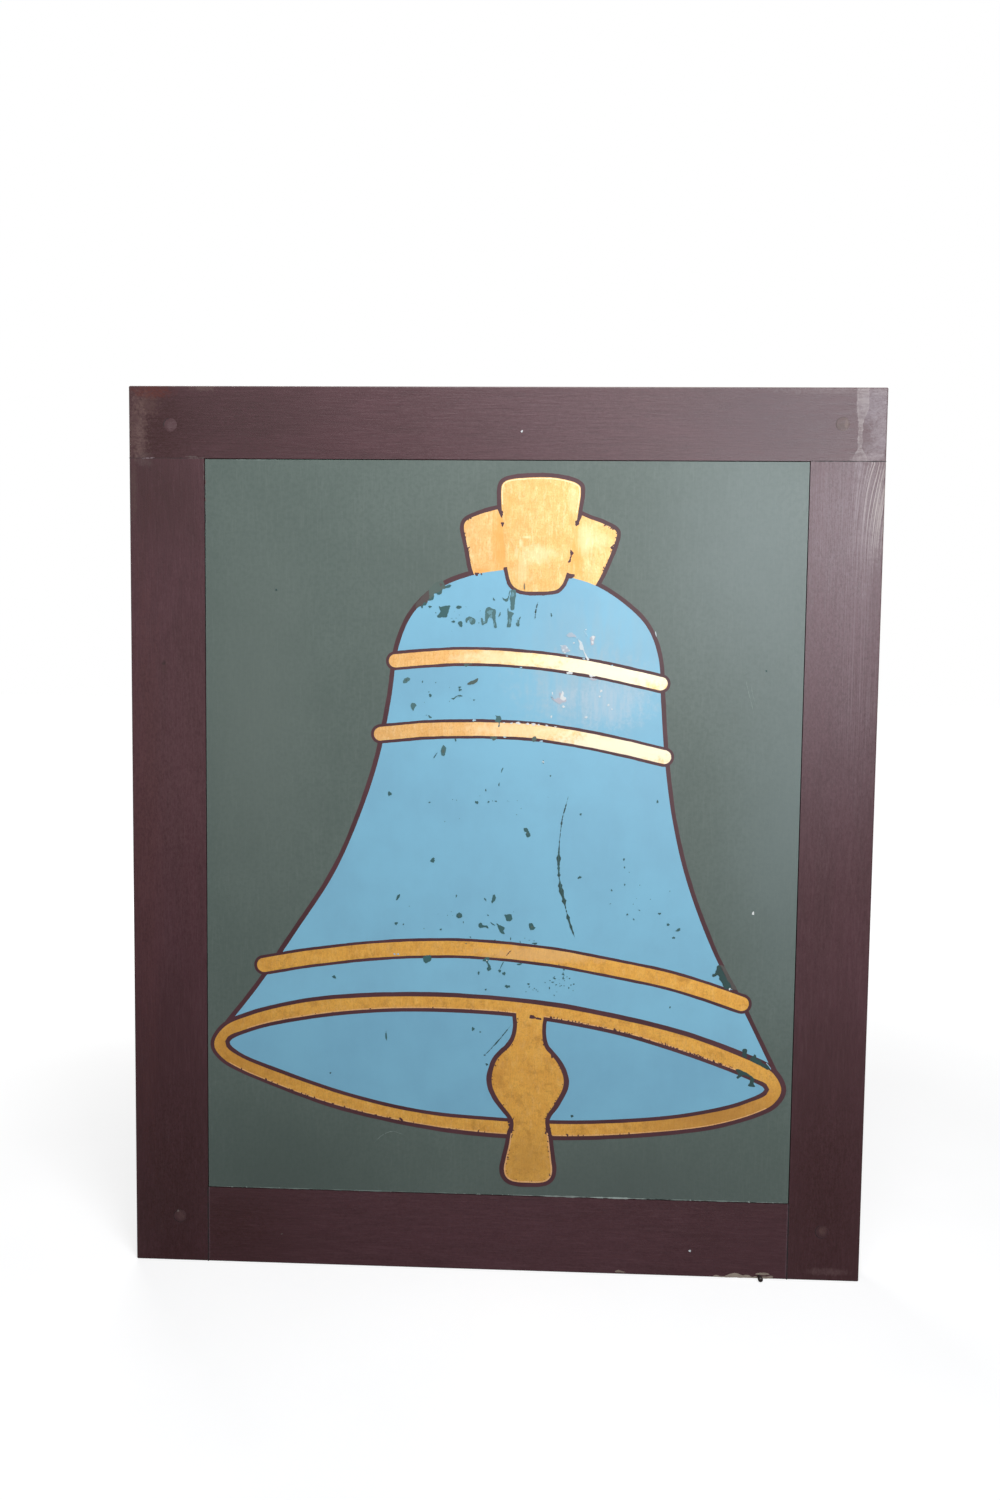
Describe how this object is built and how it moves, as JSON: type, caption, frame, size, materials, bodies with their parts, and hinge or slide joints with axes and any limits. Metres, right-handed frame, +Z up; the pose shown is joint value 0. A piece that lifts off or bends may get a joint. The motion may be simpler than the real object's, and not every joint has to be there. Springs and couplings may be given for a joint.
{
  "type": "tavern sign",
  "caption": "Hanging tavern sign board: pegged timber frame round a flush plywood panel on each face, with bores for hanging eyes in its top edge.",
  "frame": {"origin": "middle of the bottom edge, half way through the frame's thickness", "axes": "+Z up the sign, +X to the right as one faces the painted front, front looks towards -Y"},
  "size_m": [1.016, 0.044, 1.22],
  "materials": {
    "frame_paint": "maroon oil paint over planed timber, worn satin",
    "peg_wood": "maroon oil paint over end grain",
    "panel_paint": "grey green oil paint over plywood, satin",
    "bare_timber": "unpainted sawn softwood",
    "brad_steel": "cut steel brad"
  },
  "bodies": {
    "root": {"top_rail": "frame_paint", "bottom_rail": "frame_paint", "left_stile": "frame_paint", "right_stile": "frame_paint", "top_left_peg": "peg_wood", "top_right_peg": "peg_wood", "bottom_left_peg": "peg_wood", "bottom_right_peg": "peg_wood", "front_panel": "panel_paint", "back_panel": "panel_paint", "cross_batten": "bare_timber", "upper_batten": "bare_timber", "lower_batten": "bare_timber", "front_panel_brads": "brad_steel", "back_panel_brads": "brad_steel"}
  },
  "joints": []
}
